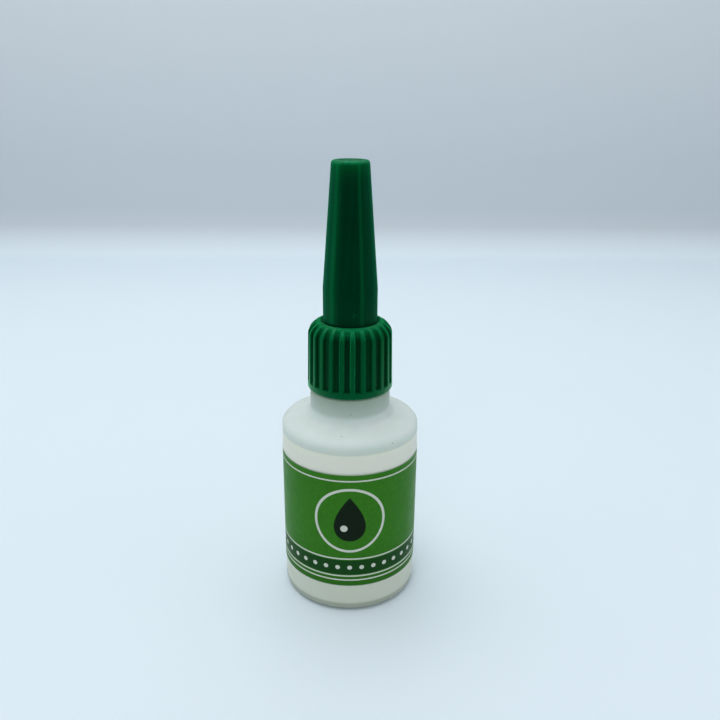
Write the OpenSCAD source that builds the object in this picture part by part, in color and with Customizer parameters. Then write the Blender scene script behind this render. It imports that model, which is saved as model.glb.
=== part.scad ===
// Round dropper bottle of liquid adhesive, with a wrap label, a dispensing nozzle,
// a fluted screw collar that clamps the nozzle to the neck, and a tall tapered cap.
// Millimetres, +Z up, origin at the centre of the foot, front towards -Y.

/* [Bottle] */
// Outside diameter of the straight wall
body_d = 28.8; // [26:0.2:36]
// Thickness of the blown wall
wall_t = 1.1; // [0.8:0.1:1.4]
// Rounding between the foot and the wall
heel_r = 1.6; // [1.2:0.1:3]
// Width of the flat ring that the bottle stands on
foot_ring_w = 2.8; // [1.5:0.1:5]
// Depth of the hollow inside the standing ring
foot_hollow_h = 0.9; // [0.4:0.1:2]
// Height at which the straight wall turns into the shoulder
wall_top_z = 38.1; // [30:0.1:60]
// How far inwards the curve of the shoulder reaches
shoulder_reach = 6; // [4:0.1:7]
// How far the curve of the shoulder would rise
shoulder_rise = 2.6; // [2:0.1:6]
// Slope of the shoulder where it meets the neck, in degrees
shoulder_slope = 9; // [4:0.5:20]

/* [Neck] */
// Outside diameter of the plain neck under the collar
neck_d = 16.7; // [15.5:0.1:18]
// Height of the plain neck over its root
neck_h = 4.05; // [3:0.05:8]
// Hollow rounding between the shoulder and the neck
neck_root_r = 1.5; // [0.5:0.1:2.5]
// Rounding of the plain neck's upper edge
neck_edge_r = 0.4; // [0.2:0.1:0.8]
// Outside diameter of the narrow neck inside the collar, without its thread
finish_d = 12.4; // [11:0.1:13]
// Thickness of the narrow neck
finish_wall = 1.3; // [1:0.1:1.8]
// Height of the narrow neck over the plain one
finish_h = 11.5; // [10:0.1:16]
// Bevel of the mouth's outer edge
mouth_bevel = 0.3; // [0.1:0.05:0.6]
// Height of the funnel inside the plain neck
funnel_h = 2.5; // [1:0.1:3]

/* [Label] */
// Bare wall below the label
label_foot_margin = 6.5; // [3:0.1:10]
// Bare wall above the label
label_head_margin = 5.2; // [1:0.1:10]
// Thickness of the label film
label_t = 0.08; // [0.05:0.01:0.2]
// Open seam between the two ends of the label, at the back
label_seam = 2; // [0.5:0.1:8]

/* [Adhesive] */
// Depth of the fill line below the end of the straight wall
fill_drop = 1.3; // [0.5:0.1:20]

/* [Nozzle] */
// Thickness of the flange that the collar clamps on the mouth
flange_t = 1.3; // [0.8:0.1:2]
// How far the flange reaches past the narrow neck
flange_overhang = 0.55; // [0.4:0.05:0.8]
// Depth of the plug in the mouth
plug_h = 5; // [3:0.1:8]
// Thickness of the plug's wall
plug_wall = 0.9; // [0.6:0.1:1.4]
// Bevel at the foot of the plug
plug_bevel = 0.4; // [0.2:0.05:0.7]
// Height of the boss that grips the cap
boss_h = 5.5; // [3:0.1:7]
// Step from the boss to the foot of the spout
spout_step = 0.6; // [0.3:0.1:1]
// Diameter of the spout's tip
tip_d = 2.4; // [1.8:0.1:3]
// Diameter of the fine bore in the tip
tip_bore_d = 1.06; // [0.6:0.02:1.4]
// Length of the fine bore
tip_bore_h = 5; // [3:0.1:10]
// Thickness of the spout's wall at its foot
spout_wall = 1.2; // [0.8:0.1:1.6]

/* [Collar] */
// Thickness of the collar under the flutes
collar_wall = 1.18; // [0.8:0.02:2]
// Narrowing of the collar's radius from its foot to its dome
collar_lean = 0.23; // [0:0.01:0.5]
// Number of flutes around the collar
flute_count = 24; // [16:1:32]
// Depth of the flutes
flute_depth = 0.6; // [0.3:0.05:0.9]
// Width of the ribs between the flutes
rib_w = 1; // [0.6:0.05:1.3]
// Turn of the first rib from the front, in degrees
rib_turn = 3.4; // [0:0.1:15]
// Height of the smooth band under the flutes
band_h = 1.4; // [0.8:0.1:3]
// How far inwards the curve of the dome reaches
dome_reach = 3.74; // [2.8:0.02:4.2]
// How far the curve of the dome would rise
dome_rise = 3.01; // [2:0.01:4]
// Smooth rim around the opening, where the flutes have run out
rim_w = 0.5; // [0.2:0.05:0.8]
// Thickness of the lip over the flange
lip_t = 1.64; // [1.2:0.02:3]
// How far the lip covers the flange
lip_grip = 0.65; // [0.4:0.05:1]
// Height of the bead that keeps the flange in the collar
bead_h = 0.5; // [0.3:0.05:0.8]
// Bevel at the foot of the collar's bore
bore_bevel = 0.3; // [0.1:0.05:0.5]

/* [Cap] */
// Diameter of the cap's straight foot
cap_d = 11.04; // [10:0.02:12]
// Height of the whole cap
cap_h = 33.04; // [28:0.02:45]
// Height at which the taper begins
cap_knee_h = 8.28; // [7:0.02:12]
// Diameter of the taper at the flat top
cap_top_d = 7.38; // [6.4:0.02:8]
// Rounding of the top's edge
cap_edge_r = 0.64; // [0.2:0.02:1]
// Thickness of the cap's wall
cap_wall = 1.44; // [1:0.02:1.6]
// Thickness of the cap's top
cap_top_t = 1.6; // [1:0.1:3]
// Length of the pin that closes the tip
pin_h = 3; // [2:0.1:4]

/* [Clearances] */
// Adhesive film between the label and the wall
label_bond = 0.02; // [0.01:0.01:0.05]
// Gap between the liquid and the wall
fill_film = 0.05; // [0.02:0.01:0.1]
// Gap between the plug and the mouth
plug_fit = 0.05; // [0.02:0.01:0.1]
// Gap between the boss and the cap
cap_fit = 0.08; // [0.02:0.01:0.1]
// Gap between the closing pin and the fine bore
pin_fit = 0.08; // [0.04:0.01:0.1]
// Room over the tip inside the cap
tip_gap = 1; // [0.5:0.1:1.5]
// Gap between the cap and the collar's opening
cap_ring_gap = 0.58; // [0.4:0.02:0.8]
// Room for the two threads between the narrow neck and the collar
thread_gap = 0.85; // [0.7:0.05:1.1]
// Gap around the flange and under it
flange_play = 0.2; // [0.1:0.05:0.4]
// Gap between the bead and the narrow neck
bead_gap = 0.25; // [0.15:0.05:0.35]
// Gap between the collar's foot and the plain neck
collar_foot_gap = 0.27; // [0.1:0.01:0.6]

/* [Hidden] */
$fn = 96;
arc_steps = 8;
least_corner_r = 0.2;
cut_margin = 1;

clear_white = [0.9, 0.92, 0.92, 0.6];
label_green = [0.32, 0.62, 0.18];
liquid_cream = [0.95, 0.93, 0.86, 0.5];
nozzle_white = [0.94, 0.94, 0.91];
collar_green = [0.02, 0.4, 0.2];
cap_green = [0.01, 0.3, 0.16];

// Radii and heights of the bottle
body_r = body_d / 2;
neck_r = neck_d / 2;
finish_r = finish_d / 2;
mouth_r = finish_r - finish_wall;
foot_hollow_r = body_r - heel_r - foot_ring_w;
fill_z = wall_top_z - fill_drop;
neck_root_z = neck_root_centre(0)[1];
neck_top_z = neck_root_z + neck_h;
mouth_z = neck_top_z + finish_h;

// The collar's opening follows the cap, and its lip covers the nozzle's flange
cap_r = cap_d / 2;
opening_r = cap_r + cap_ring_gap;
flange_r = max(opening_r + lip_grip, finish_r + flange_overhang);
flange_top_z = mouth_z + flange_t;
seat_r = flange_r + flange_play;
bead_r = finish_r + bead_gap;
collar_bore_r = finish_r + thread_gap;
collar_r = max(collar_bore_r, seat_r) + collar_wall + flute_depth;
collar_foot_z = neck_top_z + collar_foot_gap;
collar_top_z = flange_top_z + lip_t;
bead_top_z = mouth_z - flange_play;
bead_foot_z = bead_top_z - bead_h;

// The dome is part of an ellipse that ends at the opening
dome_r = collar_r - collar_lean;
dome_axis_r = dome_r - dome_reach;
dome_end = acos((opening_r - dome_axis_r) / dome_reach);
dome_z = collar_top_z - dome_rise * sin(dome_end);

// The floor of the flutes crosses the dome at the edge of the smooth rim
band_top_z = collar_foot_z + band_h;
floor_reach = dome_reach - flute_depth;
rim_out = opening_r + rim_w - dome_axis_r;
floor_rise = dome_rise * sin(acos(rim_out / dome_reach)) / sin(acos(rim_out / floor_reach));
floor_end = acos((opening_r - dome_axis_r) / floor_reach);
flute_pitch = 360 / flute_count;
rib_angle = 2 * asin(rib_w / 2 / collar_r);
flute_half_angle = (flute_pitch - rib_angle) / 2;

// The cap stands on the flange, and the spout reaches up to its ceiling
cap_top_z = flange_top_z + cap_h;
cap_knee_z = flange_top_z + cap_knee_h;
cap_top_r = cap_top_d / 2;
cap_bore_r = cap_r - cap_wall;
taper = atan2(cap_r - cap_top_r, cap_top_z - cap_knee_z);
ceiling_z = cap_top_z - cap_top_t;
ceiling_r = cap_top_r + cap_top_t * tan(taper) - cap_wall;
boss_r = cap_bore_r - cap_fit;
boss_top_z = flange_top_z + boss_h;
plug_r = mouth_r - plug_fit;
plug_bore_r = plug_r - plug_wall;
plug_foot_z = mouth_z - plug_h;
spout_r = boss_r - spout_step;
tip_z = ceiling_z - tip_gap;
tip_bore_r = tip_bore_d / 2;
pin_r = tip_bore_r - pin_fit;
pin_foot_z = ceiling_z - pin_h;

// Points along an arc of an ellipse about a centre, from one angle to another
function ellipse_arc(centre, reach, rise, from, to) =
    [for (i = [0:arc_steps])
        let (a = from + (to - from) * i / arc_steps)
        centre + [reach * cos(a), rise * sin(a)]];
function arc(centre, r, from, to) = ellipse_arc(centre, r, r, from, to);
function reversed(points) = [for (i = [len(points) - 1:-1:0]) points[i]];
function last(points) = points[len(points) - 1];

// Outlines of the bottle, moved inwards from its outside by an inset
function foot_hollow(inset) =
    let (r = (foot_hollow_r ^ 2 + foot_hollow_h ^ 2) / (2 * foot_hollow_h))
    arc([0, inset + foot_hollow_h - r], r, 90, 90 - asin(foot_hollow_r / r));
function heel(inset) =
    let (r = max(heel_r - inset, least_corner_r))
    arc([body_r - inset - r, inset + r], r, -90, 0);
function shoulder(inset) =
    let (reach = shoulder_reach - inset, rise = shoulder_rise - inset)
    ellipse_arc([body_r - shoulder_reach, wall_top_z], reach, rise,
                0, atan2(rise, reach * tan(shoulder_slope)));
function neck_root_centre(inset) =
    let (r = neck_root_r + inset,
         end = last(shoulder(inset)),
         touch_r = neck_r + neck_root_r - r * sin(shoulder_slope))
    [neck_r + neck_root_r,
     end[1] + (end[0] - touch_r) * tan(shoulder_slope) + r * cos(shoulder_slope)];
function neck_root(inset) =
    arc(neck_root_centre(inset), neck_root_r + inset, 270 - shoulder_slope, 180);
function bottle_skin(inset) =
    concat(foot_hollow(inset), heel(inset), shoulder(inset), neck_root(inset));

module bottle() {
    funnel_z = max(neck_top_z - funnel_h, neck_root_centre(wall_t)[1] + least_corner_r);
    outside = concat(
        bottle_skin(0),
        arc([neck_r - neck_edge_r, neck_top_z - neck_edge_r], neck_edge_r, 0, 90),
        [[finish_r, neck_top_z],
         [finish_r, mouth_z - mouth_bevel],
         [finish_r - mouth_bevel, mouth_z]]);
    inside = concat(
        bottle_skin(wall_t),
        [[neck_r - wall_t, funnel_z],
         [mouth_r, neck_top_z],
         [mouth_r, mouth_z]]);
    color(clear_white)
        rotate_extrude()
            polygon(concat(outside, reversed(inside)));
}

module label() {
    label_r = body_r + label_bond;
    label_h = wall_top_z - label_foot_margin - label_head_margin;
    seam_angle = 2 * asin(label_seam / 2 / label_r);
    color(label_green)
        rotate([0, 0, 90 + seam_angle / 2])
            rotate_extrude(angle = 360 - seam_angle)
                translate([label_r, label_foot_margin])
                    square([label_t, label_h]);
}

module adhesive() {
    inset = wall_t + fill_film;
    color(liquid_cream)
        rotate_extrude()
            polygon(concat(
                foot_hollow(inset),
                heel(inset),
                [[body_r - inset, fill_z], [0, fill_z]]));
}

module nozzle() {
    color(nozzle_white)
        rotate_extrude()
            polygon([
                [plug_bore_r, plug_foot_z],
                [plug_r - plug_bevel, plug_foot_z],
                [plug_r, plug_foot_z + plug_bevel],
                [plug_r, mouth_z],
                [flange_r, mouth_z],
                [flange_r, flange_top_z],
                [boss_r, flange_top_z],
                [boss_r, boss_top_z],
                [spout_r, boss_top_z + spout_step],
                [tip_d / 2, tip_z],
                [tip_bore_r, tip_z],
                [tip_bore_r, tip_z - tip_bore_h],
                [spout_r - spout_wall, boss_top_z],
                [spout_r - spout_wall, flange_top_z],
                [plug_bore_r, mouth_z]]);
}

module collar_ring() {
    outside = concat(
        [[collar_r, collar_foot_z]],
        ellipse_arc([dome_axis_r, dome_z], dome_reach, dome_rise, 0, dome_end));
    inside = [
        [opening_r, flange_top_z],
        [seat_r, flange_top_z],
        [seat_r, bead_top_z],
        [bead_r, bead_top_z],
        [bead_r, bead_foot_z],
        [collar_bore_r, bead_foot_z - (collar_bore_r - bead_r)],
        [collar_bore_r, collar_foot_z + bore_bevel],
        [collar_bore_r + bore_bevel, collar_foot_z]];
    rotate_extrude()
        polygon(concat(outside, inside));
}

// Everything outside the floor of the flutes, over the smooth band
module flute_space() {
    foot_lean = collar_lean * band_h / (dome_z - collar_foot_z);
    top_z = collar_top_z + cut_margin;
    out_r = collar_r + cut_margin;
    rotate_extrude()
        polygon(concat(
            [[collar_r - foot_lean - flute_depth, band_top_z]],
            ellipse_arc([dome_axis_r, dome_z], floor_reach, floor_rise, 0, floor_end),
            [[opening_r, top_z], [out_r, top_z], [out_r, band_top_z]]));
}

module flute_wedges() {
    in_r = opening_r - cut_margin;
    out_r = collar_r + 2 * cut_margin;
    across = [cos(flute_half_angle), sin(flute_half_angle)];
    translate([0, 0, band_top_z - cut_margin])
        linear_extrude(collar_top_z - band_top_z + 3 * cut_margin)
            for (i = [0:flute_count - 1])
                rotate(rib_turn - 90 + (i + 0.5) * flute_pitch)
                    polygon([
                        [in_r * across[0], -in_r * across[1]],
                        [out_r * across[0], -out_r * across[1]],
                        [out_r * across[0], out_r * across[1]],
                        [in_r * across[0], in_r * across[1]]]);
}

module screw_collar() {
    color(collar_green)
        difference() {
            collar_ring();
            intersection() {
                flute_space();
                flute_wedges();
            }
        }
}

module nozzle_cap() {
    edge_axis_r = cap_top_r - cap_edge_r * (1 - sin(taper)) / cos(taper);
    color(cap_green)
        rotate_extrude()
            polygon(concat(
                [[cap_bore_r, flange_top_z],
                 [cap_r, flange_top_z],
                 [cap_r, cap_knee_z]],
                arc([edge_axis_r, cap_top_z - cap_edge_r], cap_edge_r, taper, 90),
                [[0, cap_top_z],
                 [0, pin_foot_z],
                 [pin_r, pin_foot_z],
                 [pin_r, ceiling_z],
                 [ceiling_r, ceiling_z],
                 [cap_bore_r, cap_knee_z]]));
}

bottle();
label();
adhesive();
nozzle();
screw_collar();
nozzle_cap();
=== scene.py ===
"""A round bottle of liquid adhesive: milky body, wrap label, fluted screw collar and tall cap."""

import math

import bpy
from mathutils import Matrix, Vector


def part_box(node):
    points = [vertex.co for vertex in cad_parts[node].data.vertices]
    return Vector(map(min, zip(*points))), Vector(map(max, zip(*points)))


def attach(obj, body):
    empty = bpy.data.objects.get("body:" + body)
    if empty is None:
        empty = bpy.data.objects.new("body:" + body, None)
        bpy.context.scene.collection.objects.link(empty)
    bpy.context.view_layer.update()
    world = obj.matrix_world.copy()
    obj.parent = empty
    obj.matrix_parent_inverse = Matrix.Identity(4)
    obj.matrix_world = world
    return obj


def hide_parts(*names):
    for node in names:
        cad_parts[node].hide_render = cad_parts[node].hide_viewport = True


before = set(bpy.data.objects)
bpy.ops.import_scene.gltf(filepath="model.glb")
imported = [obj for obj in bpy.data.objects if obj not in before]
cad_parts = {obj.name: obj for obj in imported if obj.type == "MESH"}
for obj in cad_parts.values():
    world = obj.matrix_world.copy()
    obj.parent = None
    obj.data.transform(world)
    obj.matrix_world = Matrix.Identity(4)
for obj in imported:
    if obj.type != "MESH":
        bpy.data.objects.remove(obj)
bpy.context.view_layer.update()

# Units, and heights taken from the frame
MM = 0.001
FULL_TURN = 2 * math.pi
MOUTH_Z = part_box("bottle")[1].z
LABEL_FOOT_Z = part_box("label")[0].z
LABEL_HEAD_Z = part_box("label")[1].z
FILL_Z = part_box("adhesive")[1].z
PLUG_FOOT_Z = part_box("nozzle")[0].z
TIP_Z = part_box("nozzle")[1].z
COLLAR_FOOT_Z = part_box("screw_collar")[0].z
COLLAR_TOP_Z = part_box("screw_collar")[1].z
CAP_FOOT_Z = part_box("nozzle_cap")[0].z
CAP_TOP_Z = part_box("nozzle_cap")[1].z

# Sizes of the bottle
BODY_R = 14.4 * MM
WALL = 1.1 * MM
HEEL_R = 1.6 * MM
HEEL_LEAST_R = 0.3 * MM
FOOT_HOLLOW_R = 10 * MM
FOOT_HOLLOW_H = 0.9 * MM
WALL_TOP_Z = 38.1 * MM
SHOULDER_REACH = 6 * MM
SHOULDER_RISE = 2.6 * MM
SHOULDER_SLOPE = math.radians(9)
NECK_R = 8.35 * MM
NECK_ROOT_R = 1.5 * MM
NECK_EDGE_R = 0.4 * MM
NECK_TOP_Z = MOUTH_Z - 11.5 * MM
NARROW_NECK_R = 6.2 * MM
MOUTH_R = 4.9 * MM
MOUTH_EDGE_R = 0.3 * MM
FUNNEL_H = 2.5 * MM

# Sizes of the label and the liquid
LABEL_IN_R = 14.42 * MM
LABEL_OUT_R = 14.495 * MM
LABEL_SEAM = 2 * MM
FILM_GAP = 0.05 * MM
MENISCUS_H = 0.9 * MM
MENISCUS_W = 1.3 * MM

# Sizes of the thread between the neck and the collar
THREAD_PITCH = 3 * MM
THREAD_ROOT_W = 1.5 * MM
THREAD_CREST_W = 0.6 * MM
THREAD_SINK = 0.1 * MM
THREAD_RUN_OUT = 12
NECK_THREAD_R = 6.85 * MM
NECK_THREAD_Z = NECK_TOP_Z + 2.4 * MM
NECK_THREAD_TURNS = 2.2
COLLAR_THREAD_R = 6.4 * MM
COLLAR_THREAD_Z = NECK_THREAD_Z + THREAD_PITCH / 2
COLLAR_THREAD_TURNS = 1.5

# Sizes of the collar
COLLAR_R = 8.83 * MM
COLLAR_LEAN = 0.23 * MM
COLLAR_BORE_R = 7.05 * MM
COLLAR_BAND_H = 1.4 * MM
COLLAR_EDGE_R = 0.25 * MM
RIBS = 24
RIB_TURN = math.radians(3.4)
RIB_CREST = 0.18
RIB_FOOT = 0.25
FLUTE_DEPTH = 0.6 * MM
FLUTE_FADE = 1.1 * MM
FLUTE_END = 0.12 * MM
DOME_REACH = 3.74 * MM
DOME_RISE = 3.01 * MM
RIM_W = 0.5 * MM
OPENING_R = 6.1 * MM
SEAT_R = 6.95 * MM
BEAD_R = 6.45 * MM
BEAD_H = 0.5 * MM
FLANGE_PLAY = 0.2 * MM

# Sizes of the nozzle
FLANGE_R = 6.75 * MM
PLUG_R = 4.85 * MM
PLUG_BORE_R = 3.95 * MM
PLUG_BEVEL = 0.4 * MM
BOSS_R = 4 * MM
BOSS_H = 5.5 * MM
SPOUT_R = 3.4 * MM
SPOUT_BORE_R = 2.2 * MM
TIP_R = 1.2 * MM
TIP_BORE_R = 0.53 * MM
TIP_BORE_H = 5 * MM

# Sizes of the cap
CAP_R = 5.52 * MM
CAP_TOP_R = 3.69 * MM
CAP_KNEE_Z = CAP_FOOT_Z + 8.28 * MM
CAP_KNEE_ROUND = 12 * MM
CAP_EDGE_R = 0.64 * MM
CAP_DISH_R = 2.5 * MM
CAP_DISH_H = 0.25 * MM
CAP_BORE_R = 4.08 * MM
CEILING_R = 2.37 * MM
CEILING_Z = CAP_TOP_Z - 1.6 * MM
PIN_R = 0.45 * MM
PIN_FOOT_Z = CEILING_Z - 3 * MM
PIP_R = 0.55 * MM
PIP_RIM = 0.18 * MM
PIP_H = 0.18 * MM
PIP_X = 1 * MM
PIP_Z = CAP_FOOT_Z + 3.75 * MM
SOFT_EDGE = 0.2 * MM

# Fineness of the meshes
BODY_SIDES = 160
CLOSURE_SIDES = 128
PIP_SIDES = CLOSURE_SIDES // 4
RIB_STEPS = 24
ARC_STEPS = 8
SHOULDER_STEPS = 2 * ARC_STEPS
DOME_STEPS = 3 * ARC_STEPS
EDGE_STEPS = 4
CAP_EDGE_STEPS = 2 * EDGE_STEPS
MERGE = 1e-6
NEAR = 0.01 * MM
START_SIZE = 1 * MM
SMOOTH_ANGLE = math.radians(32)


def arc(centre_r, centre_z, reach, rise, start, end, steps=ARC_STEPS):
    """Points of (radius, height) along an arc of an ellipse, with its angles in degrees."""
    turns = [math.radians(start + (end - start) * i / steps) for i in range(steps + 1)]
    return [(centre_r + reach * math.cos(a), centre_z + rise * math.sin(a)) for a in turns]


def round_edge(r, z, rounding):
    """Points of (radius, height) that round an outer edge, from its side to its top."""
    return arc(r - rounding, z - rounding, rounding, rounding, 0, 90)


def rounded(corners, steps=EDGE_STEPS):
    """Points of (radius, height) through corners of (radius, height, rounding)."""
    points = []
    for i, (r, z, rounding) in enumerate(corners):
        corner = Vector((r, z))
        if not rounding:
            points.append((r, z))
            continue
        before = (Vector(corners[i - 1][:2]) - corner).normalized()
        after = (Vector(corners[(i + 1) % len(corners)][:2]) - corner).normalized()
        half = before.angle(after) / 2
        centre = corner + (before + after).normalized() * rounding / math.sin(half)
        start = corner + before * rounding / math.tan(half) - centre
        end = corner + after * rounding / math.tan(half) - centre
        spokes = [start.lerp(end, k / steps).normalized() for k in range(steps + 1)]
        points += [tuple(centre + spoke * rounding) for spoke in spokes]
    return points


def smooth_step(value, low, high):
    """0 below low and 1 above high, with an easy curve between them."""
    share = min(max((value - low) / (high - low), 0), 1)
    return share * share * (3 - 2 * share)


# Modelling steps
def start_piece(name, place):
    """Starts a piece as a single vertex, and stays in edit mode."""
    bpy.ops.object.select_all(action="DESELECT")
    bpy.ops.mesh.primitive_plane_add(size=START_SIZE)
    piece = bpy.context.object
    piece.name = piece.data.name = name
    bpy.ops.object.mode_set(mode="EDIT")
    bpy.ops.mesh.merge(type="CENTER")
    bpy.ops.transform.translate(value=place)
    return piece


def select_points(piece, wanted):
    """Selects the vertices that pass a test of their number and place, in edit mode."""
    bpy.ops.mesh.select_mode(type="VERT")
    bpy.ops.mesh.select_all(action="DESELECT")
    bpy.ops.object.mode_set(mode="OBJECT")
    for vertex in piece.data.vertices:
        vertex.select = wanted(vertex.index, vertex.co)
    bpy.ops.object.mode_set(mode="EDIT")


def push_in(piece, r, angle, z, depth):
    """Moves the vertex at a radius, angle and height towards the axis of the bottle."""
    way = Vector((math.cos(angle), math.sin(angle), 0))
    spot = way * r + Vector((0, 0, z))
    select_points(piece, lambda index, place: (place - spot).length < NEAR)
    bpy.ops.transform.translate(value=-way * depth)


def draw_outline(name, outline, closed):
    """Draws a wire of (radius, height) points by extruding a vertex from point to point."""
    piece = start_piece(name, (outline[0][0], 0, outline[0][1]))
    for (r, z), (next_r, next_z) in zip(outline, outline[1:]):
        step = (next_r - r, 0, next_z - z)
        bpy.ops.mesh.extrude_vertices_move(TRANSFORM_OT_translate={"value": step})
    if closed:
        last = len(outline) - 1
        select_points(piece, lambda index, place: index in (0, last))
        bpy.ops.mesh.edge_face_add()
    return piece


def spin(angle, steps, copies=False):
    """Spins all that is drawn about the axis of the bottle, anticlockwise from above."""
    bpy.ops.mesh.select_all(action="SELECT")
    bpy.ops.mesh.spin(steps=steps, angle=angle, dupli=copies, center=(0, 0, 0), axis=(0, 0, -1))


def fill_ends(sides):
    """Closes the open ends of a sweep, which have this many sides."""
    bpy.ops.mesh.select_all(action="SELECT")
    bpy.ops.mesh.fill_holes(sides=sides)


def close_up(piece):
    """Merges what meets, turns all faces outwards and shades the round faces smooth."""
    bpy.ops.mesh.select_all(action="SELECT")
    bpy.ops.mesh.remove_doubles(threshold=MERGE)
    bpy.ops.mesh.normals_make_consistent(inside=False)
    bpy.ops.object.mode_set(mode="OBJECT")
    bpy.ops.object.shade_smooth_by_angle(angle=SMOOTH_ANGLE)
    bpy.ops.object.modifier_add(type="WEIGHTED_NORMAL")
    even_shading = piece.modifiers[-1]
    even_shading.keep_sharp = True
    bpy.ops.object.modifier_apply(modifier=even_shading.name)


def turned(name, outline, sides, closed=True):
    """Spins an outline round the axis of the bottle, as on a lathe."""
    piece = draw_outline(name, outline, closed)
    spin(FULL_TURN, sides)
    close_up(piece)
    return piece


def settle():
    """Puts the place and turn of the piece in hand into its mesh."""
    bpy.ops.object.transform_apply(location=True, rotation=True, scale=True)


def dress(piece, finish, body, slot, *nodes):
    """Gives a piece its finish, its body and the nodes that it stands for."""
    piece.data.materials.append(finish)
    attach(piece, body)
    if nodes:
        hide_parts(*nodes)


# Outlines of the bottle, moved inwards by an inset
def foot_hollow(inset):
    """The shallow hollow under the foot, from the axis outwards."""
    r = (FOOT_HOLLOW_R**2 + FOOT_HOLLOW_H**2) / (2 * FOOT_HOLLOW_H)
    edge = math.degrees(math.asin(FOOT_HOLLOW_R / r))
    points = arc(0, inset + FOOT_HOLLOW_H - r, r, r, 90, 90 - edge)
    return [(0, points[0][1])] + points[1:]


def heel(inset):
    """The rounding from the foot to the wall."""
    r = max(HEEL_R - inset, HEEL_LEAST_R)
    return arc(BODY_R - inset - r, inset + r, r, r, -90, 0)


def shoulder(inset):
    """The curve from the top of the wall in towards the neck."""
    reach, rise = SHOULDER_REACH - inset, SHOULDER_RISE - inset
    end = math.degrees(math.atan2(rise, reach * math.tan(SHOULDER_SLOPE)))
    return arc(BODY_R - SHOULDER_REACH, WALL_TOP_Z, reach, rise, 0, end, SHOULDER_STEPS)


def neck_root(inset):
    """The slope and the hollow rounding from the shoulder to the neck."""
    r = NECK_ROOT_R + inset
    end_r, end_z = shoulder(inset)[-1]
    touch_r = NECK_R + NECK_ROOT_R - r * math.sin(SHOULDER_SLOPE)
    centre_z = end_z + (end_r - touch_r) * math.tan(SHOULDER_SLOPE) + r * math.cos(SHOULDER_SLOPE)
    return arc(NECK_R + NECK_ROOT_R, centre_z, r, r, 270 - math.degrees(SHOULDER_SLOPE), 180)


# Pieces
def make_bottle(finish):
    """The shell: up the outside from the foot to the mouth, and down the inside."""
    outside = foot_hollow(0) + heel(0) + shoulder(0) + neck_root(0)
    outside += round_edge(NECK_R, NECK_TOP_Z, NECK_EDGE_R)
    outside += [(NARROW_NECK_R, NECK_TOP_Z)]
    outside += round_edge(NARROW_NECK_R, MOUTH_Z, MOUTH_EDGE_R)
    inside = foot_hollow(WALL) + heel(WALL) + shoulder(WALL) + neck_root(WALL)
    inside += [(NECK_R - WALL, NECK_TOP_Z - FUNNEL_H), (MOUTH_R, NECK_TOP_Z), (MOUTH_R, MOUTH_Z)]
    piece = turned("bottle_shell", outside + inside[::-1], BODY_SIDES, closed=False)
    dress(piece, finish, "bottle", "bottle_plastic", "bottle")


def make_thread(name, root_r, crest_r, foot_z, turns, finish, body, slot):
    """A screw thread: a small outline swept along a helix, with both ends run out."""
    sink = math.copysign(THREAD_SINK, crest_r - root_r)
    outline = [
        (root_r - sink, foot_z - THREAD_ROOT_W / 2),
        (crest_r, foot_z - THREAD_CREST_W / 2),
        (crest_r, foot_z + THREAD_CREST_W / 2),
        (root_r - sink, foot_z + THREAD_ROOT_W / 2),
    ]
    piece = draw_outline(name, outline, closed=True)
    bpy.ops.object.mode_set(mode="OBJECT")
    bpy.ops.object.modifier_add(type="SCREW")
    sweep = piece.modifiers[-1]
    steps = round(CLOSURE_SIDES * turns)
    sweep.angle = FULL_TURN * turns
    sweep.screw_offset = THREAD_PITCH * turns
    sweep.steps = sweep.render_steps = steps
    sweep.use_merge_vertices = False
    bpy.ops.object.modifier_apply(modifier=sweep.name)
    bpy.ops.object.mode_set(mode="EDIT")
    fill_ends(len(outline))
    for i in range(THREAD_RUN_OUT):
        sunk = (crest_r - root_r + sink) * (1 - smooth_step(i, -1, THREAD_RUN_OUT))
        for step in (i, steps - i):
            share = step / steps
            z = foot_z + THREAD_PITCH * turns * share
            for crest_z in (z - THREAD_CREST_W / 2, z + THREAD_CREST_W / 2):
                push_in(piece, crest_r, FULL_TURN * turns * share, crest_z, sunk)
    close_up(piece)
    dress(piece, finish, body, slot)


def make_label(finish):
    """A thin film wrapped round the body, with its open seam at the back."""
    outline = [
        (LABEL_IN_R, LABEL_FOOT_Z),
        (LABEL_OUT_R, LABEL_FOOT_Z),
        (LABEL_OUT_R, LABEL_HEAD_Z),
        (LABEL_IN_R, LABEL_HEAD_Z),
    ]
    seam = LABEL_SEAM / LABEL_OUT_R
    piece = draw_outline("label_wrap", outline, closed=True)
    spin(FULL_TURN - seam, BODY_SIDES)
    fill_ends(len(outline))
    close_up(piece)
    piece.rotation_euler.z = FULL_TURN / 4 + seam / 2
    settle()
    dress(piece, finish, "bottle", "label_film", "label")


def make_liquid(finish):
    """The liquid inside, which climbs a little at the wall."""
    inset = WALL + FILM_GAP
    outline = foot_hollow(inset) + heel(inset)
    outline += arc(BODY_R - inset - MENISCUS_W, FILL_Z + MENISCUS_H, MENISCUS_W, MENISCUS_H, 0, -90)
    outline += [(0, FILL_Z)]
    piece = turned("adhesive_liquid", outline, BODY_SIDES, closed=False)
    dress(piece, finish, "bottle", "adhesive_liquid", "adhesive")


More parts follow.
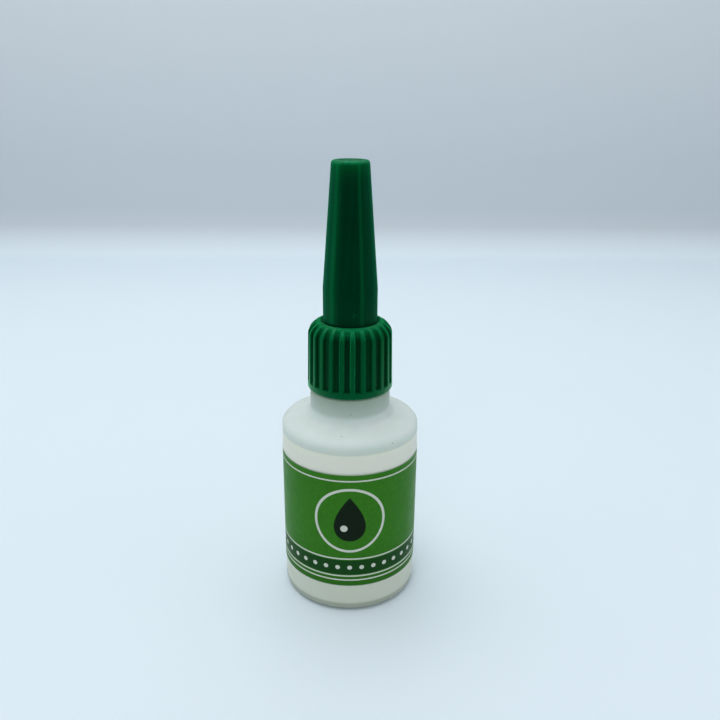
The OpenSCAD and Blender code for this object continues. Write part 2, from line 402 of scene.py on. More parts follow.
def make_nozzle(finish):
    """The insert: a plug in the neck, a flange on the mouth, a boss and a long spout."""
    boss_top_z = CAP_FOOT_Z + BOSS_H
    outline = rounded([
        (PLUG_BORE_R, PLUG_FOOT_Z, 0),
        (PLUG_R - PLUG_BEVEL, PLUG_FOOT_Z, 0),
        (PLUG_R, PLUG_FOOT_Z + PLUG_BEVEL, 0),
        (PLUG_R, MOUTH_Z, 0),
        (FLANGE_R, MOUTH_Z, SOFT_EDGE),
        (FLANGE_R, CAP_FOOT_Z, SOFT_EDGE),
        (BOSS_R, CAP_FOOT_Z, 0),
        (BOSS_R, boss_top_z, SOFT_EDGE),
        (SPOUT_R, boss_top_z, SOFT_EDGE),
        (TIP_R, TIP_Z, SOFT_EDGE),
        (TIP_BORE_R, TIP_Z, SOFT_EDGE),
        (TIP_BORE_R, TIP_Z - TIP_BORE_H, 0),
        (SPOUT_BORE_R, boss_top_z, 0),
        (SPOUT_BORE_R, CAP_FOOT_Z, 0),
        (PLUG_BORE_R, MOUTH_Z, 0),
    ])
    piece = turned("nozzle_insert", outline, CLOSURE_SIDES)
    dress(piece, finish, "nozzle", "nozzle_plastic", "nozzle")


def make_collar(finish):
    """One rib with half a flute on each side is shaped, then spun round as copies."""
    dome_r = COLLAR_R - COLLAR_LEAN
    axis_r = dome_r - DOME_REACH
    dome_end = math.degrees(math.acos((OPENING_R - axis_r) / DOME_REACH))
    dome_z = COLLAR_TOP_Z - DOME_RISE * math.sin(math.radians(dome_end))
    flute_z = COLLAR_FOOT_Z + COLLAR_BAND_H
    lean = COLLAR_LEAN / (dome_z - COLLAR_FOOT_Z)
    levels = [flute_z - FLUTE_END, flute_z + FLUTE_END]
    levels += [flute_z + (dome_z - flute_z) * i / ARC_STEPS for i in range(1, ARC_STEPS)]
    edge_r, edge_z = COLLAR_R - COLLAR_EDGE_R, COLLAR_FOOT_Z + COLLAR_EDGE_R
    outside = arc(edge_r, edge_z, COLLAR_EDGE_R, COLLAR_EDGE_R, -90, 0, EDGE_STEPS)
    outside += [(COLLAR_R - (z - COLLAR_FOOT_Z) * lean, z) for z in levels]
    outside += arc(axis_r, dome_z, DOME_REACH, DOME_RISE, 0, dome_end, DOME_STEPS)
    bead_top_z = MOUTH_Z - FLANGE_PLAY
    inside = [
        (OPENING_R, CAP_FOOT_Z),
        (SEAT_R, CAP_FOOT_Z),
        (SEAT_R, bead_top_z),
        (BEAD_R, bead_top_z),
        (BEAD_R, bead_top_z - BEAD_H),
        (COLLAR_BORE_R, bead_top_z - BEAD_H - (COLLAR_BORE_R - BEAD_R)),
        (COLLAR_BORE_R, COLLAR_FOOT_Z + SOFT_EDGE),
        (COLLAR_BORE_R + SOFT_EDGE, COLLAR_FOOT_Z),
    ]
    pitch = FULL_TURN / RIBS
    piece = draw_outline("fluted_collar", outside + inside, closed=True)
    spin(pitch, RIB_STEPS)
    rim_r = OPENING_R + RIM_W
    for r, z in outside:
        if z > flute_z and r > rim_r:
            fade = min((r - rim_r) / FLUTE_FADE, 1)
            for step in range(RIB_STEPS + 1):
                share = step / RIB_STEPS
                depth = FLUTE_DEPTH * fade * smooth_step(abs(share - 0.5), RIB_CREST, RIB_FOOT)
                if depth > 0:
                    push_in(piece, r, pitch * share, z, depth)
    spin(FULL_TURN - pitch, RIBS - 1, copies=True)
    close_up(piece)
    piece.rotation_euler.z = RIB_TURN - FULL_TURN / 4 - pitch / 2
    settle()
    dress(piece, finish, "collar", "collar_plastic", "screw_collar")


def make_cap(finish):
    """The tall cap: a straight foot, a long taper, a dished top and a pin that seals the spout."""
    outline = rounded([
        (0, CAP_TOP_Z - CAP_DISH_H, 0),
        (CAP_DISH_R - 2 * SOFT_EDGE, CAP_TOP_Z - CAP_DISH_H, SOFT_EDGE),
        (CAP_DISH_R, CAP_TOP_Z, SOFT_EDGE),
        (CAP_TOP_R, CAP_TOP_Z, CAP_EDGE_R),
        (CAP_R, CAP_KNEE_Z, CAP_KNEE_ROUND),
        (CAP_R, CAP_FOOT_Z, SOFT_EDGE),
        (CAP_BORE_R, CAP_FOOT_Z, SOFT_EDGE),
        (CAP_BORE_R, CAP_KNEE_Z, 0),
        (CEILING_R, CEILING_Z, SOFT_EDGE),
        (PIN_R, CEILING_Z, SOFT_EDGE),
        (PIN_R, PIN_FOOT_Z, SOFT_EDGE),
        (0, PIN_FOOT_Z, 0),
    ], CAP_EDGE_STEPS)
    piece = turned("tall_cap", outline, CLOSURE_SIDES, closed=False)
    dress(piece, finish, "cap", "cap_plastic", "nozzle_cap")


def make_cap_pip(finish):
    """A faint moulded ring low on the front of the cap, where the mould was filled."""
    outline = [(0, -PIP_H), (PIP_R, -PIP_H)]
    outline += arc(PIP_R - PIP_RIM, 0, PIP_RIM, PIP_H, 0, 180) + [(0, 0)]
    piece = turned("cap_pip", outline, PIP_SIDES, closed=False)
    lean = math.asin(PIP_X / CAP_R)
    piece.rotation_euler = (FULL_TURN / 4, 0, lean)
    piece.location = (PIP_X, -CAP_R * math.cos(lean), PIP_Z)
    settle()
    dress(piece, finish, "cap", "cap_plastic")


# Most of a noise lies between these
NOISE_SPREAD = (0.3, 0.7)


class Finish:
    """A material round one shader, whose sockets are set to plain values or fed by nodes."""

    def __init__(self, name, plain):
        self.material = bpy.data.materials.new(name)
        self.material.use_nodes = True
        self.tree = self.material.node_tree
        self.shader = self.tree.nodes["Principled BSDF"]
        self.place = self.tree.nodes.new("ShaderNodeTexCoord").outputs["Object"]
        for socket, value in plain.items():
            self.shader.inputs[socket].default_value = value

    def feed(self, socket, value):
        """Links an output to a socket, or sets a plain value on it."""
        if isinstance(value, bpy.types.NodeSocket):
            self.tree.links.new(value, socket)
        else:
            socket.default_value = value

    def add(self, kind, values, output=0, **settings):
        """Adds a node with its settings and inputs, and returns one of its outputs."""
        node = self.tree.nodes.new(kind)
        for setting, choice in settings.items():
            setattr(node, setting, choice)
        for socket, value in values.items():
            self.feed(node.inputs[socket], value)
        return node.outputs[output]

    def math(self, operation, *values):
        """Works out one operation on plain values and outputs."""
        return self.add("ShaderNodeMath", dict(enumerate(values)), operation=operation)

    def axes(self):
        """The x, y and z of the place in millimetres."""
        place = self.add("ShaderNodeVectorMath", {0: self.place, 3: 1 / MM}, operation="SCALE")
        split = self.add("ShaderNodeSeparateXYZ", {0: place}).node
        return split.outputs["X"], split.outputs["Y"], split.outputs["Z"]

    def noise(self, size, detail=3, stretch=(1, 1, 1)):
        """Clouds about 0.5 with patches of a size, drawn out along the axes by the stretch."""
        scale = [1 / (size * s) for s in stretch]
        place = self.add("ShaderNodeMapping", {"Vector": self.place, "Scale": scale})
        return self.add("ShaderNodeTexNoise", {"Vector": place, "Scale": 1, "Detail": detail})

    def ramp(self, value, low, high, to_low=0, to_high=1):
        """Takes low to to_low and high to to_high, and holds the ends."""
        ends = {"From Min": low, "From Max": high, "To Min": to_low, "To Max": to_high}
        return self.add("ShaderNodeMapRange", {"Value": value, **ends})

    def clouds(self, size, low=0, high=1, detail=3, spread=NOISE_SPREAD):
        """Soft patches of a size, from low to high over the spread of a noise."""
        return self.ramp(self.noise(size, detail), *spread, low, high)

    def mix(self, share, low, high):
        """Mixes two colours by a share from 0 to 1."""
        return self.add("ShaderNodeMix", {0: share, 6: low, 7: high}, output=2, data_type="RGBA")

    def bump(self, height, depth, under=None):
        """A normal from a height of 0 to 1 over a depth, on top of another normal."""
        values = {"Height": height, "Distance": depth, "Strength": 1}
        if under:
            values["Normal"] = under
        return self.add("ShaderNodeBump", values)

    def paint(self, **outputs):
        """Feeds the shader's sockets and hands over the finished material."""
        for socket, value in outputs.items():
            self.feed(self.shader.inputs[socket.replace("_", " ")], value)
        return self.material

    def distance(self, across, along):
        """The length of a flat step."""
        step = self.add("ShaderNodeCombineXYZ", {0: across, 1: along})
        return self.add("ShaderNodeVectorMath", {0: step}, output="Value", operation="LENGTH")

    def specks(self, spacing, r, share):
        """1 inside small scattered specks, of which a share is kept, and 0 elsewhere."""
        cells = self.add("ShaderNodeTexVoronoi", {"Vector": self.place, "Scale": 1 / spacing}).node
        inside = self.math("LESS_THAN", cells.outputs["Distance"], r / spacing)
        tone = self.add("ShaderNodeSeparateColor", {0: cells.outputs["Color"]})
        return self.math("MULTIPLY", inside, self.math("LESS_THAN", tone, share))


# Milky plastic of the bottle, with its heights in millimetres
FILL_LINE = FILL_Z / MM + 0.35
FILL_SHADE = 2.2
FILL_EDGE = 0.3
# Painted shade of the collar on the neck, with a painted green cast, weaker up the narrow neck
NECK_LINE = WALL_TOP_Z / MM + 4
NECK_FADE = (NECK_LINE - 0.4, NECK_LINE + 0.6)
NECK_SHADE_ROOT, NECK_SHADE_RISE = 0.48, 0.52
NARROW_FADE = (NECK_TOP_Z / MM - 0.2, NECK_TOP_Z / MM + 0.6)
NARROW_SHADE = 0.25
HEEL_LINE = 2
HEEL_FADE = 0.3
MILK_THIN = (0.79, 0.89, 0.85, 1)
MILK_THICK = (0.84, 0.93, 0.9, 1)
MILK_WET = (0.905, 0.99, 0.805, 1)
MILK_FOOT_SHADE = (0.74, 0.78, 0.67, 1)
MILK_FILL_SHADE = (0.72, 0.8, 0.7, 1)
MILK_NECK_SHADE = (0.384, 0.475, 0.387, 1)
MILK_HEEL_SHADE = (0.46, 0.5, 0.41, 1)
MILK_CLOUD, MILK_CLOUD_SPREAD = 5 * MM, (0.35, 0.65)
MILK_SCATTER = 0.7 * MM
SPECK = (0.36, 0.41, 0.37, 1)
SPECK_SPACING, SPECK_R, SPECK_SHARE = 2 * MM, 0.13 * MM, 0.3
STREAK, STREAK_STRETCH, STREAK_DEPTH = 0.7 * MM, (1, 1, 40), 0.012 * MM
MILK_GRAIN, MILK_GRAIN_DEPTH = 0.3 * MM, 0.006 * MM
MILK_GLOSS, MILK_ROUGHNESS = 1.6 * MM, (0.36, 0.5)


def bottle_plastic():
    """Milky plastic, greener where wet, with painted shade on the neck, at the heel, low down and above
    the liquid.
    """
    finish = Finish("bottle_milky_plastic", {
        "Subsurface Weight": 1,
        "Subsurface Scale": MILK_SCATTER,
        "Subsurface Radius": (1, 1, 1),
        "Transmission Weight": 0.12,
        "Sheen Weight": 0.05,
        "Sheen Roughness": 0.4,
        "IOR": 1.45,
        "Specular IOR Level": 0.28,
    })
    height = finish.axes()[2]
    clouds = finish.clouds(MILK_CLOUD, spread=MILK_CLOUD_SPREAD)
    colour = finish.mix(clouds, MILK_THIN, MILK_THICK)
    # Painted shade in a band just above the liquid line
    shade = finish.ramp(height, FILL_LINE + FILL_SHADE, FILL_LINE)
    colour = finish.mix(shade, colour, MILK_FILL_SHADE)
    # Painted shade and green cast on the neck under the collar
    root = finish.ramp(height, *NECK_FADE, 0, NECK_SHADE_ROOT)
    rise = finish.ramp(height, NECK_LINE, COLLAR_FOOT_Z / MM, 0, NECK_SHADE_RISE)
    bare = finish.ramp(height, *NARROW_FADE, 1, NARROW_SHADE)
    neck = finish.math("MULTIPLY", finish.math("ADD", root, rise), bare)
    colour = finish.mix(neck, colour, MILK_NECK_SHADE)
    # Painted shade: the wet wall grows darker towards the foot, where less light reaches
    foot_shade = finish.ramp(height, LABEL_HEAD_Z / MM, LABEL_FOOT_Z / MM)
    wet = finish.ramp(height, FILL_LINE, FILL_LINE - FILL_EDGE)
    colour = finish.mix(wet, colour, finish.mix(foot_shade, MILK_WET, MILK_FOOT_SHADE))
    # Painted shade along the heel, which curves under away from the light
    heel_shade = finish.ramp(height, HEEL_LINE + HEEL_FADE, HEEL_LINE - HEEL_FADE)
    colour = finish.mix(heel_shade, colour, MILK_HEEL_SHADE)
    colour = finish.mix(finish.specks(SPECK_SPACING, SPECK_R, SPECK_SHARE), colour, SPECK)
    drawn = finish.bump(finish.noise(STREAK, stretch=STREAK_STRETCH), STREAK_DEPTH)
    grain = finish.bump(finish.noise(MILK_GRAIN), MILK_GRAIN_DEPTH, drawn)
    gloss = finish.clouds(MILK_GLOSS, *MILK_ROUGHNESS)
    return finish.paint(Base_Color=colour, Roughness=gloss, Normal=grain)


# Printed film of the label, with its lengths in millimetres, round the label and up from its foot
LEAF_DARK = (0.03, 0.164, 0.0095, 1)
LEAF_LIGHT = (0.039, 0.197, 0.0125, 1)
LEAF_LOW = (0.026, 0.138, 0.009, 1)
LEAF_GLINT = (0.4, 1, 0.3, 1)
INK_DARK = (0.004, 0.012, 0.005, 1)
INK_BAND = (0.006, 0.055, 0.008, 1)
INK_PALE = (0.62, 0.66, 0.58, 1)
FILM_WHITE = (0.85, 0.87, 0.84, 1)
LABEL_H = (LABEL_HEAD_Z - LABEL_FOOT_Z) / MM
LABEL_AROUND = FULL_TURN * LABEL_OUT_R / MM
LABEL_MID_R = (LABEL_IN_R + LABEL_OUT_R) / 2 / MM
LOW_UP = 10
CUT_HEAD = (LABEL_H - 0.22, LABEL_H - 0.1)
CUT_FOOT = (0.16, 0.08)
CUT_PALE = 0.45
MOTIFS = 3
DOTS = 36
BAND_UP, BAND_HALF = 4.6, 1.7
DOT_R = 0.5
LINE_HALF = 0.16
LINES_UP = (1.5, 2.5, 6.7, LABEL_H - 1.5)
RING_UP, RING_R, RING_HALF = 15.8, 7.2, 0.28
DROP_FOOT, DROP_H, DROP_HALF_W = 11, 10.2, 3.3
# The most that sqrt(share) * (1 - share) comes to, where the drop is widest
DROP_WIDEST = 2 / (3 * math.sqrt(3))
GLINT_ACROSS, GLINT_UP, GLINT_R = -1.2, 14, 0.75
MOTTLE, MOTTLE_DETAIL = 0.9 * MM, 5
RIPPLE, RIPPLE_DETAIL, RIPPLE_DEPTH = 6 * MM, 1, 0.05 * MM
FILM_GRAIN, FILM_GRAIN_DEPTH = 0.15 * MM, 0.002 * MM
FILM_GLOSS, FILM_ROUGHNESS = 2.5 * MM, (0.3, 0.44)


def label_film():
    """Green printed film: a banded border, and drops in rings. Its inner side is bare white film."""
    finish = Finish("label_printed_film", {
        "Specular IOR Level": 0.06,
        "Sheen Weight": 0.08,
        "Sheen Roughness": 0.5,
        "Sheen Tint": LEAF_GLINT,
    })
    x, y, z = finish.axes()
    turn = finish.math("ARCTAN2", x, finish.math("MULTIPLY", y, -1))
    around = finish.math("MULTIPLY", turn, LABEL_OUT_R / MM)
    up = finish.math("SUBTRACT", z, LABEL_FOOT_Z / MM)
    colour = finish.mix(finish.clouds(MOTTLE, detail=MOTTLE_DETAIL), LEAF_DARK, LEAF_LIGHT)
    colour = finish.mix(finish.ramp(up, LOW_UP, 0), colour, LEAF_LOW)
    cut = finish.math("MAXIMUM", finish.ramp(up, *CUT_HEAD), finish.ramp(up, *CUT_FOOT))
    colour = finish.mix(finish.math("MULTIPLY", cut, CUT_PALE), colour, FILM_WHITE)
    colour = finish.mix(finish.math("COMPARE", up, BAND_UP, BAND_HALF), colour, INK_BAND)
    half_dot = LABEL_AROUND / DOTS / 2
    beside_dot = finish.math("WRAP", around, half_dot, -half_dot)
    from_dot = finish.distance(beside_dot, finish.math("SUBTRACT", up, BAND_UP))
    pale = finish.math("LESS_THAN", from_dot, DOT_R)
    for line in LINES_UP:
        pale = finish.math("MAXIMUM", pale, finish.math("COMPARE", up, line, LINE_HALF))
    half_motif = LABEL_AROUND / MOTIFS / 2
    across = finish.math("WRAP", around, half_motif, -half_motif)
    from_ring = finish.distance(across, finish.math("SUBTRACT", up, RING_UP))
    pale = finish.math("MAXIMUM", pale, finish.math("COMPARE", from_ring, RING_R, RING_HALF))
    share = finish.math("DIVIDE", finish.math("SUBTRACT", up, DROP_FOOT), DROP_H)
    taper = finish.math("MULTIPLY", finish.math("SQRT", share), finish.math("SUBTRACT", 1, share))
    half_width = finish.math("MULTIPLY", taper, DROP_HALF_W / DROP_WIDEST)
    drop = finish.math("LESS_THAN", finish.math("ABSOLUTE", across), half_width)
    colour = finish.mix(drop, colour, INK_DARK)
    beside_glint = finish.math("SUBTRACT", across, GLINT_ACROSS)
    from_glint = finish.distance(beside_glint, finish.math("SUBTRACT", up, GLINT_UP))
    pale = finish.math("MAXIMUM", pale, finish.math("LESS_THAN", from_glint, GLINT_R))
    colour = finish.mix(pale, colour, INK_PALE)
    inner = finish.math("LESS_THAN", finish.distance(x, y), LABEL_MID_R)
    colour = finish.mix(inner, colour, FILM_WHITE)
    ripple = finish.bump(finish.noise(RIPPLE, RIPPLE_DETAIL), RIPPLE_DEPTH)
    grain = finish.bump(finish.noise(FILM_GRAIN), FILM_GRAIN_DEPTH, ripple)
    gloss = finish.clouds(FILM_GLOSS, *FILM_ROUGHNESS)
    return finish.paint(Base_Color=colour, Roughness=gloss, Normal=grain)


# Clear liquid
STRAW_DEEP = (0.9, 0.89, 0.8, 1)
STRAW_PALE = (0.94, 0.93, 0.86, 1)
SWIRL, SWIRL_DETAIL, SWIRL_STRETCH = 4 * MM, 2, (1, 1, 0.5)
LIQUID_ROUGHNESS = (0.03, 0.08)


def liquid_adhesive():
    """Clear liquid with a straw tint in faint swirls."""
    finish = Finish("liquid_straw_clear", {
        "Transmission Weight": 0.4,
        "IOR": 1.45,
        "Subsurface Weight": 1,
    })
    swirl = finish.ramp(finish.noise(SWIRL, SWIRL_DETAIL, SWIRL_STRETCH), *NOISE_SPREAD)
    colour = finish.mix(swirl, STRAW_DEEP, STRAW_PALE)
    gloss = finish.ramp(swirl, 0, 1, *LIQUID_ROUGHNESS)
    return finish.paint(Base_Color=colour, Roughness=gloss)


# Natural plastic of the nozzle
WAX_DEEP = (0.76, 0.77, 0.71, 1)
WAX_PALE = (0.84, 0.85, 0.8, 1)
WAX_SCATTER = 0.4 * MM
WAX_CLOUD = 2.5 * MM
WAX_FLOW, WAX_FLOW_STRETCH, WAX_FLOW_DEPTH = 0.5 * MM, (1, 1, 20), 0.01 * MM
WAX_GRAIN, WAX_GRAIN_DEPTH = 0.2 * MM, 0.004 * MM
WAX_GLOSS, WAX_ROUGHNESS = 1.2 * MM, (0.32, 0.45)


def nozzle_plastic():
    """Natural white plastic with a waxy sheen and fine flow lines."""
    finish = Finish("nozzle_natural_plastic", {
        "Subsurface Weight": 1,
        "Subsurface Scale": WAX_SCATTER,
        "IOR": 1.45,
    })
    colour = finish.mix(finish.clouds(WAX_CLOUD), WAX_DEEP, WAX_PALE)
    flow = finish.bump(finish.noise(WAX_FLOW, stretch=WAX_FLOW_STRETCH), WAX_FLOW_DEPTH)
    grain = finish.bump(finish.noise(WAX_GRAIN), WAX_GRAIN_DEPTH, flow)
    gloss = finish.clouds(WAX_GLOSS, *WAX_ROUGHNESS)
    return finish.paint(Base_Color=colour, Roughness=gloss, Normal=grain)


# Green plastic of the collar. Its levels are shares of the way out to the crests of the ribs.
GREEN_GLINT = (0.02, 1, 0.45, 1)
RIB_GLINT = (0.02, 1, 0.3, 1)
FLUTE_SHADE_GREEN = (0.0002, 0.0125, 0.003, 1)
FLUTE_LIT = (0.0004, 0.053, 0.014, 1)
RIB_GREEN = (0.0004, 0.062, 0.0175, 1)
RIB_LIT = (0.001, 0.128, 0.039, 1)
# Pale green of wear and painted highlights, on the rib crests and the cap's top edge
WEAR_GLINT_GREEN = (0.004, 0.2, 0.065, 1)
CREST_LEVEL = (0.9, 0.985)
WEAR_GLINT_LEVEL = (0.985, 1.01)
DOME_LIGHT_FADE = (0.2, 0.9)
RIB_WEAR_GLINT = 0.4
RIB_WEAR_GLINT_PATCH, RIB_WEAR_GLINT_DETAIL, RIB_WEAR_GLINT_SPREAD = 0.8 * MM, 4, (0.35, 0.7)
COLLAR_GRAIN, COLLAR_GRAIN_DEPTH = 0.16 * MM, 0.002 * MM
COLLAR_GLOSS, COLLAR_ROUGHNESS = 0.9 * MM, (0.28, 0.36)


def collar_plastic():
    """Satin green plastic with painted shade down each flute, painted light over the dome and wear with
    painted highlights on the crests there.
    """
    finish = Finish("collar_satin_green", {
        "Specular IOR Level": 0.25,
        "Specular Tint": GREEN_GLINT,
        "Sheen Weight": 0.5,
        "Sheen Roughness": 0.45,
        "Sheen Tint": RIB_GLINT,
    })
    x, y, z = finish.axes()
    axis_r = (COLLAR_R - COLLAR_LEAN - DOME_REACH) / MM
    dome_z = (COLLAR_TOP_Z - DOME_RISE) / MM
    beyond = finish.math("SUBTRACT", finish.distance(x, y), axis_r)
    out = finish.math("DIVIDE", beyond, DOME_REACH / MM)
    over = finish.math("DIVIDE", finish.math("SUBTRACT", z, dome_z), DOME_RISE / MM)
    level = finish.distance(out, finish.math("MAXIMUM", over, 0))
    # Painted light over the dome, which faces up, on the ribs and the flutes
    dome = finish.ramp(over, *DOME_LIGHT_FADE)
    # Painted shade down the flutes, lifting to painted light over the dome
    flute_shade = finish.mix(dome, FLUTE_SHADE_GREEN, FLUTE_LIT)
    ribs = finish.mix(dome, RIB_GREEN, RIB_LIT)
    colour = finish.mix(finish.ramp(level, *CREST_LEVEL), flute_shade, ribs)
    # Wear with painted highlights on the rib crests over the dome, in patches
    patches = finish.clouds(RIB_WEAR_GLINT_PATCH, detail=RIB_WEAR_GLINT_DETAIL, spread=RIB_WEAR_GLINT_SPREAD)
    crests = finish.ramp(level, *WEAR_GLINT_LEVEL)
    wear_glint = finish.math("MULTIPLY", crests, finish.math("MULTIPLY", patches, dome))
    colour = finish.mix(finish.math("MULTIPLY", wear_glint, RIB_WEAR_GLINT), colour, WEAR_GLINT_GREEN)
    grain = finish.bump(finish.noise(COLLAR_GRAIN), COLLAR_GRAIN_DEPTH)
    gloss = finish.clouds(COLLAR_GLOSS, *COLLAR_ROUGHNESS)
    return finish.paint(Base_Color=colour, Roughness=gloss, Normal=grain)


# Green plastic of the cap, with its heights and radii in millimetres
CAP_DARK = (0.0001, 0.0205, 0.0073, 1)
CAP_LIGHT = (0.0002, 0.029, 0.0102, 1)
CAP_GLOW = (0.0003, 0.06, 0.014, 1)
TOP_LINE = CAP_TOP_Z / MM
KNEE_LINE = CAP_KNEE_Z / MM
GLOW_FADE, GLOW_POWER = (TOP_LINE - 6, TOP_LINE - 1), 3
RIM_FADE = (CAP_DISH_R / MM, CAP_DISH_R / MM + 0.3)
EDGE_FADE = (TOP_LINE - 0.9, TOP_LINE - 0.3)
CAP_WEAR_GLINT = 0.8
CAP_WEAR_GLINT_PATCH, CAP_WEAR_GLINT_DETAIL, CAP_WEAR_GLINT_SPREAD = 0.6 * MM, 4, (0.3, 0.6)
CAP_FLOW, CAP_FLOW_STRETCH, CAP_FLOW_DEPTH = 0.8 * MM, (1, 1, 25), 0.003 * MM
CAP_GRAIN, CAP_GRAIN_DEPTH = 0.2 * MM, 0.001 * MM
CAP_GLOSS, CAP_ROUGHNESS = 1.4 * MM, (0.11, 0.17)
TOP_FADE, TOP_ROUGHNESS = (TOP_LINE - 0.9, TOP_LINE - 0.2), 0.55
FOOT_FADE, FOOT_ROUGHNESS = (KNEE_LINE + 3, KNEE_LINE - 3), 0.2


def cap_plastic():
    """Glossy green plastic with flow lines, a painted glow towards the top, and wear with painted
    highlights at the top edge.
    """
    finish = Finish("cap_glossy_green", {
        "Specular IOR Level": 0.5,
        "Specular Tint": GREEN_GLINT,
        "Sheen Weight": 0.16,
        "Sheen Roughness": 0.5,
        "Sheen Tint": GREEN_GLINT,
    })
    x, y, height = finish.axes()
    flow = finish.noise(CAP_FLOW, stretch=CAP_FLOW_STRETCH)
    colour = finish.mix(finish.ramp(flow, *NOISE_SPREAD), CAP_DARK, CAP_LIGHT)
    # Painted glow towards the top, as of light shining through the plastic
    glow = finish.math("POWER", finish.ramp(height, *GLOW_FADE), GLOW_POWER)
    colour = finish.mix(glow, colour, CAP_GLOW)
    # Wear with painted highlights round the top edge, in patches
    patches = finish.clouds(CAP_WEAR_GLINT_PATCH, detail=CAP_WEAR_GLINT_DETAIL, spread=CAP_WEAR_GLINT_SPREAD)
    rim = finish.ramp(finish.distance(x, y), *RIM_FADE)
    edge = finish.math("MULTIPLY", rim, finish.ramp(height, *EDGE_FADE))
    wear_glint = finish.math("MULTIPLY", edge, finish.math("MULTIPLY", patches, CAP_WEAR_GLINT))
    colour = finish.mix(wear_glint, colour, WEAR_GLINT_GREEN)
    lines = finish.bump(flow, CAP_FLOW_DEPTH)
    grain = finish.bump(finish.noise(CAP_GRAIN), CAP_GRAIN_DEPTH, lines)
    gloss = finish.clouds(CAP_GLOSS, *CAP_ROUGHNESS)
    for fade, roughness in ((TOP_FADE, TOP_ROUGHNESS), (FOOT_FADE, FOOT_ROUGHNESS)):
        gloss = finish.math("MAXIMUM", gloss, finish.ramp(height, *fade, 0, roughness))
    return finish.paint(Base_Color=colour, Roughness=gloss, Normal=grain)


# All the pieces, each in its finish
milky_plastic = bottle_plastic()
green_satin = collar_plastic()
green_gloss = cap_plastic()
make_bottle(milky_plastic)
make_thread(
    "neck_thread", NARROW_NECK_R, NECK_THREAD_R, NECK_THREAD_Z, NECK_THREAD_TURNS,
    milky_plastic, "bottle", "bottle_plastic",
)
make_label(label_film())
make_liquid(liquid_adhesive())
make_nozzle(nozzle_plastic())
make_collar(green_satin)
make_thread(
    "collar_thread", COLLAR_BORE_R, COLLAR_THREAD_R, COLLAR_THREAD_Z, COLLAR_THREAD_TURNS,
    green_satin, "collar", "collar_plastic",
)
make_cap(green_gloss)
make_cap_pip(green_gloss)

# Studio: its sizes are in metres, and the tones of its paper fade between lengths in millimetres
SWEEP_Y = 0.36
SWEEP_R = 0.03
SWEEP_STEPS = 16
STUDIO_SIZE = 4
WALL_H = 0.4
PAPER = (0.785, 0.89, 0.96, 1)
BACKDROP_SHADE = (0.61, 0.67, 0.72, 1)
BACKDROP_HIGH_SHADE = (0.76, 0.81, 0.84, 1)
FAR_PALE = (0.66, 0.79, 0.88, 1)
FOLD_FADE = (2, 18)
WALL_FADE = (60, 220)
FAR_FADE = (270, 480)
SURROUND = (0.93, 0.97, 1, 1)
SURROUND_STRENGTH = 0.42

# Cards seen only in gloss: where each starts and ends, in degrees round the bottle, and its glow
FLAG_R = 0.15
FLAG_H = 0.2
FLAG_GREEN = (0.08, 1, 0.55, 1)
FLAG_BLACK = (0, 0, 0, 1)
FLAG_ARCS = (
    (90, 118, 0.06), (118, 140, 0.13), (140, 160, 0.24), (160, 178, 0.36), (178, 198, 1.0),
    (198, 208, 0.42), (208, 222, 0.2), (222, 312, 0.01), (312, 327, 0.58), (327, 450, 0.1),
)

# Lamps: the name, place, point aimed at, width and height in metres, and power in watts
LAMPS = (
    ("top_panel", (-0.06, 0.13, 0.64), (0, 0.04, 0), 0.58, 0.58, 2.05),
    ("front_panel", (-0.07, -0.66, 0.4), (0, 0, 0.03), 0.5, 0.4, 0.59),
    ("key_panel", (-0.05, -0.12, 0.6), (0, 0, 0.05), 0.12, 0.12, 0.22),
    ("left_panel", (-0.4, -0.06, 0.16), (0, 0, 0.05), 0.35, 0.3, 0.09),
    ("right_panel", (0.4, -0.06, 0.16), (0, 0, 0.05), 0.35, 0.3, 0.13),
)


def plainly_seen(tree):
    """1 for rays of the camera, of gloss and through clear pieces, and 0 for light on matt surfaces."""
    rays = tree.nodes.new("ShaderNodeLightPath").outputs
    seen = rays["Is Camera Ray"]
    for kind in ("Is Glossy Ray", "Is Transmission Ray"):
        either = tree.nodes.new("ShaderNodeMath")
        either.operation = "MAXIMUM"
        tree.links.new(seen, either.inputs[0])
        tree.links.new(rays[kind], either.inputs[1])
        seen = either.outputs[0]
    return seen


def studio_paper():
    """Pale matt paper with painted shade where it rises behind the bottle, darkest low down, that looks
    plainly pale far away.
    """
    finish = Finish("studio_paper", {"Specular IOR Level": 0.1, "Roughness": 0.8})
    x, y, z = finish.axes()
    # Painted shade on the backdrop, darkest just above where it leaves the floor
    wall = finish.mix(finish.ramp(z, *WALL_FADE), BACKDROP_SHADE, BACKDROP_HIGH_SHADE)
    colour = finish.mix(finish.ramp(z, *FOLD_FADE), PAPER, wall)
    away = finish.math("MAXIMUM", finish.math("ABSOLUTE", x), finish.math("MULTIPLY", y, -1))
    far = finish.math("MULTIPLY", finish.ramp(away, *FAR_FADE), plainly_seen(finish.tree))
    plain = finish.add("ShaderNodeEmission", {"Color": FAR_PALE})
    paper = finish.shader.outputs["BSDF"]
    look = finish.add("ShaderNodeMixShader", {0: far, 1: paper, 2: plain})
    finish.feed(finish.tree.nodes["Material Output"].inputs["Surface"], look)
    return finish.paint(Base_Color=colour)


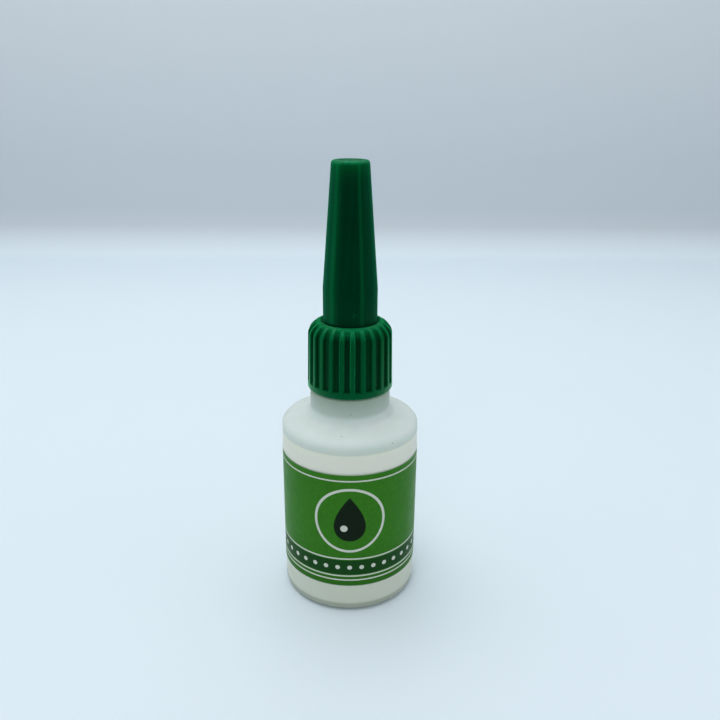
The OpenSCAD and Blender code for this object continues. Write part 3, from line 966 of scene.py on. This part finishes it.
def make_sweep(finish):
    """A pale floor that curves up into a backdrop behind the bottle."""
    bpy.ops.object.select_all(action="DESELECT")
    bpy.ops.mesh.primitive_plane_add(size=STUDIO_SIZE, location=(0, SWEEP_Y - STUDIO_SIZE / 2, 0))
    sweep = bpy.context.object
    sweep.name = sweep.data.name = "studio_sweep"
    settle()
    bpy.ops.object.mode_set(mode="EDIT")
    select_points(sweep, lambda index, place: place.y > 0)
    bpy.ops.mesh.extrude_region_move(TRANSFORM_OT_translate={"value": (0, 0, WALL_H)})
    select_points(sweep, lambda index, place: place.y > 0 and place.z < WALL_H / 2)
    bpy.ops.mesh.bevel(offset=SWEEP_R, segments=SWEEP_STEPS, affect="EDGES")
    bpy.ops.object.mode_set(mode="OBJECT")
    bpy.ops.object.shade_smooth()
    sweep.data.materials.append(finish)


def make_flag(name, start, end, glow):
    """A low card with a green glow round part of the bottle, between two angles, seen only in gloss."""
    finish = Finish(name, {
        "Base Color": FLAG_BLACK,
        "Emission Color": FLAG_GREEN,
        "Emission Strength": glow,
    })
    flag = draw_outline(name, [(FLAG_R, 0), (FLAG_R, FLAG_H)], closed=False)
    spin(math.radians(end - start), CLOSURE_SIDES)
    bpy.ops.object.mode_set(mode="OBJECT")
    flag.rotation_euler.z = math.radians(start)
    settle()
    flag.data.materials.append(finish.material)
    flag.visible_camera = flag.visible_diffuse = False
    flag.visible_shadow = flag.visible_transmission = False


def add_panel(name, place, aim, width, height, power):
    """A soft flat lamp at a place, turned towards a point, and not seen by the camera."""
    bpy.ops.object.light_add(type="AREA", location=place)
    lamp = bpy.context.object
    lamp.name = name
    lamp.data.shape = "RECTANGLE"
    lamp.data.size, lamp.data.size_y = width, height
    lamp.data.energy = power
    lamp.rotation_mode = "QUATERNION"
    lamp.rotation_quaternion = (Vector(aim) - Vector(place)).to_track_quat("-Z", "Y")
    lamp.visible_camera = False


def light_surround():
    """A surround that lights the bottle softly and evenly, and looks plainly pale itself."""
    world = bpy.data.worlds.new("studio_world")
    bpy.context.scene.world = world
    world.use_nodes = True
    tree = world.node_tree
    light = tree.nodes["Background"]
    light.inputs["Color"].default_value = SURROUND
    light.inputs["Strength"].default_value = SURROUND_STRENGTH
    plain = tree.nodes.new("ShaderNodeBackground")
    plain.inputs["Color"].default_value = FAR_PALE
    choice = tree.nodes.new("ShaderNodeMixShader")
    tree.links.new(plainly_seen(tree), choice.inputs[0])
    tree.links.new(light.outputs[0], choice.inputs[1])
    tree.links.new(plain.outputs[0], choice.inputs[2])
    tree.links.new(choice.outputs[0], tree.nodes["World Output"].inputs["Surface"])


make_sweep(studio_paper())
for i, (start, end, glow) in enumerate(FLAG_ARCS):
    make_flag(f"gloss_flag_{i + 1}", start, end, glow)
for lamp in LAMPS:
    add_panel(*lamp)
light_surround()

# Camera at the photograph's angle, with its turns in degrees
PHOTO_SIDE = 720
FOCAL_PIXELS = 726
CAMERA_PLACE = (0, -0.14132, 0.10393)
CAMERA_TURN, CAMERA_PITCH, CAMERA_ROLL = -0.831, 20.235, 0.414
CLIP_START = 0.01

bpy.ops.object.camera_add()
camera = bpy.context.object
camera.data.lens = camera.data.sensor_width * FOCAL_PIXELS / PHOTO_SIDE
camera.data.clip_start = CLIP_START
turn = Matrix.Rotation(math.radians(CAMERA_TURN), 4, "Z")
pitch = Matrix.Rotation(math.radians(90 - CAMERA_PITCH), 4, "X")
roll = Matrix.Rotation(math.radians(CAMERA_ROLL), 4, "Z")
camera.matrix_world = Matrix.Translation(CAMERA_PLACE) @ (turn @ pitch) @ roll
bpy.context.scene.camera = camera
bpy.context.scene.view_settings.view_transform = "Standard"
